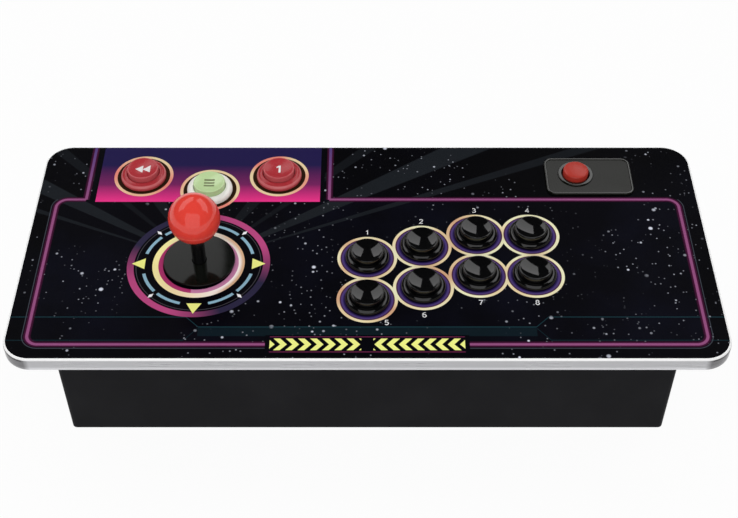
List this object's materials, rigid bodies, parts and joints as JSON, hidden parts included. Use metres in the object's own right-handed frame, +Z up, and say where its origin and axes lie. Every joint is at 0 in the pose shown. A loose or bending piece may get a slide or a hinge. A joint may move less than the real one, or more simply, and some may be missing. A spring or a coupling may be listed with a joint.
{
  "type": "arcade control console",
  "caption": "Tabletop arcade control console: wide printed deck on a narrow black base, with a ball-top joystick and sprung pushbuttons.",
  "frame": {"origin": "on the table, under the middle of the deck", "axes": "+X to the player's right, -Y towards the player, +Z up"},
  "size_m": [0.479, 0.209, 0.1627],
  "materials": {
    "board_core": "raw fibreboard",
    "deck_print": "gloss printed sheet",
    "edge_moulding": "bright silver",
    "power_plate": "satin",
    "base_black": "satin, fine texture",
    "foot_rubber": "matt",
    "port_plastic": "matt",
    "socket_metal": "plated",
    "circuit_board": "solder mask",
    "ball_red": "high gloss",
    "shaft_black": "gloss sleeve",
    "natural_plastic": "natural moulding",
    "washer_black": "satin",
    "plated_steel": "zinc plated",
    "housing_black": "moulded",
    "spring_steel": "bright",
    "switch_black": "moulded",
    "button_black": "high gloss",
    "menu_red": "gloss",
    "menu_white": "gloss",
    "menu_green": "gloss",
    "nut_black": "moulded",
    "power_red": "satin",
    "collar_grey": "satin",
    "screw_steel": "plated"
  },
  "bodies": {
    "root": {"deck_board": "board_core", "deck_overlay": "deck_print", "edge_trim": "edge_moulding", "power_plate": "power_plate", "base_shell": "base_black", "bottom_panel": "base_black", "rubber_feet": "foot_rubber", "port_panel": "port_plastic", "dc_inlet": "port_plastic", "video_socket": "socket_metal", "usb_sockets": "socket_metal", "main_board": "circuit_board", "joystick_plate": "plated_steel", "joystick_housing": "housing_black", "centring_spring": "spring_steel", "joystick_switches": "switch_black", "joystick_board": "circuit_board", "restrictor_gate": "natural_plastic", "play_bezel_1": "button_black", "play_bezel_2": "button_black", "play_bezel_3": "button_black", "play_bezel_4": "button_black", "play_bezel_5": "button_black", "play_bezel_6": "button_black", "play_bezel_7": "button_black", "play_bezel_8": "button_black", "rewind_bezel": "menu_red", "home_bezel": "menu_white", "start_bezel": "menu_red", "button_nuts": "nut_black", "button_springs": "spring_steel", "button_switches": "switch_black", "switch_leaves": "spring_steel", "power_collar": "collar_grey", "power_switch": "switch_black", "base_screws": "screw_steel", "joystick_screws": "screw_steel", "port_screws": "screw_steel", "board_screws": "screw_steel"},
    "gimbal": {"gimbal_ring": "housing_black"},
    "stick": {"ball_top": "ball_red", "stick_shaft": "shaft_black", "pivot_block": "natural_plastic", "spring_seat": "plated_steel", "actuator": "natural_plastic", "retaining_clip": "spring_steel"},
    "lower_washer": {"lower_washer": "washer_black"},
    "dust_washer": {"dust_washer": "washer_black"},
    "power_cap": {"power_cap": "power_red"},
    "play_plunger_1": {"play_plunger_1": "button_black"},
    "play_plunger_2": {"play_plunger_2": "button_black"},
    "play_plunger_3": {"play_plunger_3": "button_black"},
    "play_plunger_4": {"play_plunger_4": "button_black"},
    "play_plunger_5": {"play_plunger_5": "button_black"},
    "play_plunger_6": {"play_plunger_6": "button_black"},
    "play_plunger_7": {"play_plunger_7": "button_black"},
    "play_plunger_8": {"play_plunger_8": "button_black"},
    "rewind_plunger": {"rewind_plunger": "menu_red"},
    "home_plunger": {"home_plunger": "menu_green"},
    "start_plunger": {"start_plunger": "menu_red"}
  },
  "joints": [
    {"name": "stick_fore_aft", "type": "hinge", "parent": "root", "child": "gimbal", "pos_m": [-0.116, -0.01641, 0.079], "axis": [1, 0, 0], "range_deg": [-8, 8], "stiffness_Nm_per_rad": 0.6, "deforming": ["centring_spring", "switch_leaves"]},
    {"name": "stick_left_right", "type": "hinge", "parent": "gimbal", "child": "stick", "pos_m": [-0.116, -0.01641, 0.079], "axis": [0, 1, 0], "range_deg": [-8, 8], "stiffness_Nm_per_rad": 0.6},
    {"name": "lower_washer_slide", "type": "slide", "parent": "root", "child": "lower_washer", "axis": [0, 1, 0], "range_m": [-0.00383, 0.00383]},
    {"name": "dust_washer_slide", "type": "slide", "parent": "lower_washer", "child": "dust_washer", "axis": [1, 0, 0], "range_m": [-0.00383, 0.00383]},
    {"name": "play_plunger_1_press", "type": "slide", "parent": "root", "child": "play_plunger_1", "axis": [0, 0, -1], "range_m": [0, 0.003], "stiffness_N_per_m": 150, "springref_m": -0.004, "deforming": ["button_springs"]},
    {"name": "play_plunger_2_press", "type": "slide", "parent": "root", "child": "play_plunger_2", "axis": [0, 0, -1], "range_m": [0, 0.003], "stiffness_N_per_m": 150, "springref_m": -0.004},
    {"name": "play_plunger_3_press", "type": "slide", "parent": "root", "child": "play_plunger_3", "axis": [0, 0, -1], "range_m": [0, 0.003], "stiffness_N_per_m": 150, "springref_m": -0.004},
    {"name": "play_plunger_4_press", "type": "slide", "parent": "root", "child": "play_plunger_4", "axis": [0, 0, -1], "range_m": [0, 0.003], "stiffness_N_per_m": 150, "springref_m": -0.004},
    {"name": "play_plunger_5_press", "type": "slide", "parent": "root", "child": "play_plunger_5", "axis": [0, 0, -1], "range_m": [0, 0.003], "stiffness_N_per_m": 150, "springref_m": -0.004},
    {"name": "play_plunger_6_press", "type": "slide", "parent": "root", "child": "play_plunger_6", "axis": [0, 0, -1], "range_m": [0, 0.003], "stiffness_N_per_m": 150, "springref_m": -0.004},
    {"name": "play_plunger_7_press", "type": "slide", "parent": "root", "child": "play_plunger_7", "axis": [0, 0, -1], "range_m": [0, 0.003], "stiffness_N_per_m": 150, "springref_m": -0.004},
    {"name": "play_plunger_8_press", "type": "slide", "parent": "root", "child": "play_plunger_8", "axis": [0, 0, -1], "range_m": [0, 0.003], "stiffness_N_per_m": 150, "springref_m": -0.004},
    {"name": "rewind_plunger_press", "type": "slide", "parent": "root", "child": "rewind_plunger", "axis": [0, 0, -1], "range_m": [0, 0.003], "stiffness_N_per_m": 150, "springref_m": -0.004},
    {"name": "home_plunger_press", "type": "slide", "parent": "root", "child": "home_plunger", "axis": [0, 0, -1], "range_m": [0, 0.003], "stiffness_N_per_m": 150, "springref_m": -0.004},
    {"name": "start_plunger_press", "type": "slide", "parent": "root", "child": "start_plunger", "axis": [0, 0, -1], "range_m": [0, 0.003], "stiffness_N_per_m": 150, "springref_m": -0.004},
    {"name": "power_cap_press", "type": "slide", "parent": "root", "child": "power_cap", "axis": [0, 0, -1], "range_m": [0, 0.002], "stiffness_N_per_m": 150, "springref_m": -0.004}
  ],
  "couplings": [
    {"joint": "lower_washer_slide", "follows": "stick_fore_aft", "m_per_rad": -0.026},
    {"joint": "dust_washer_slide", "follows": "stick_left_right", "m_per_rad": 0.026}
  ]
}
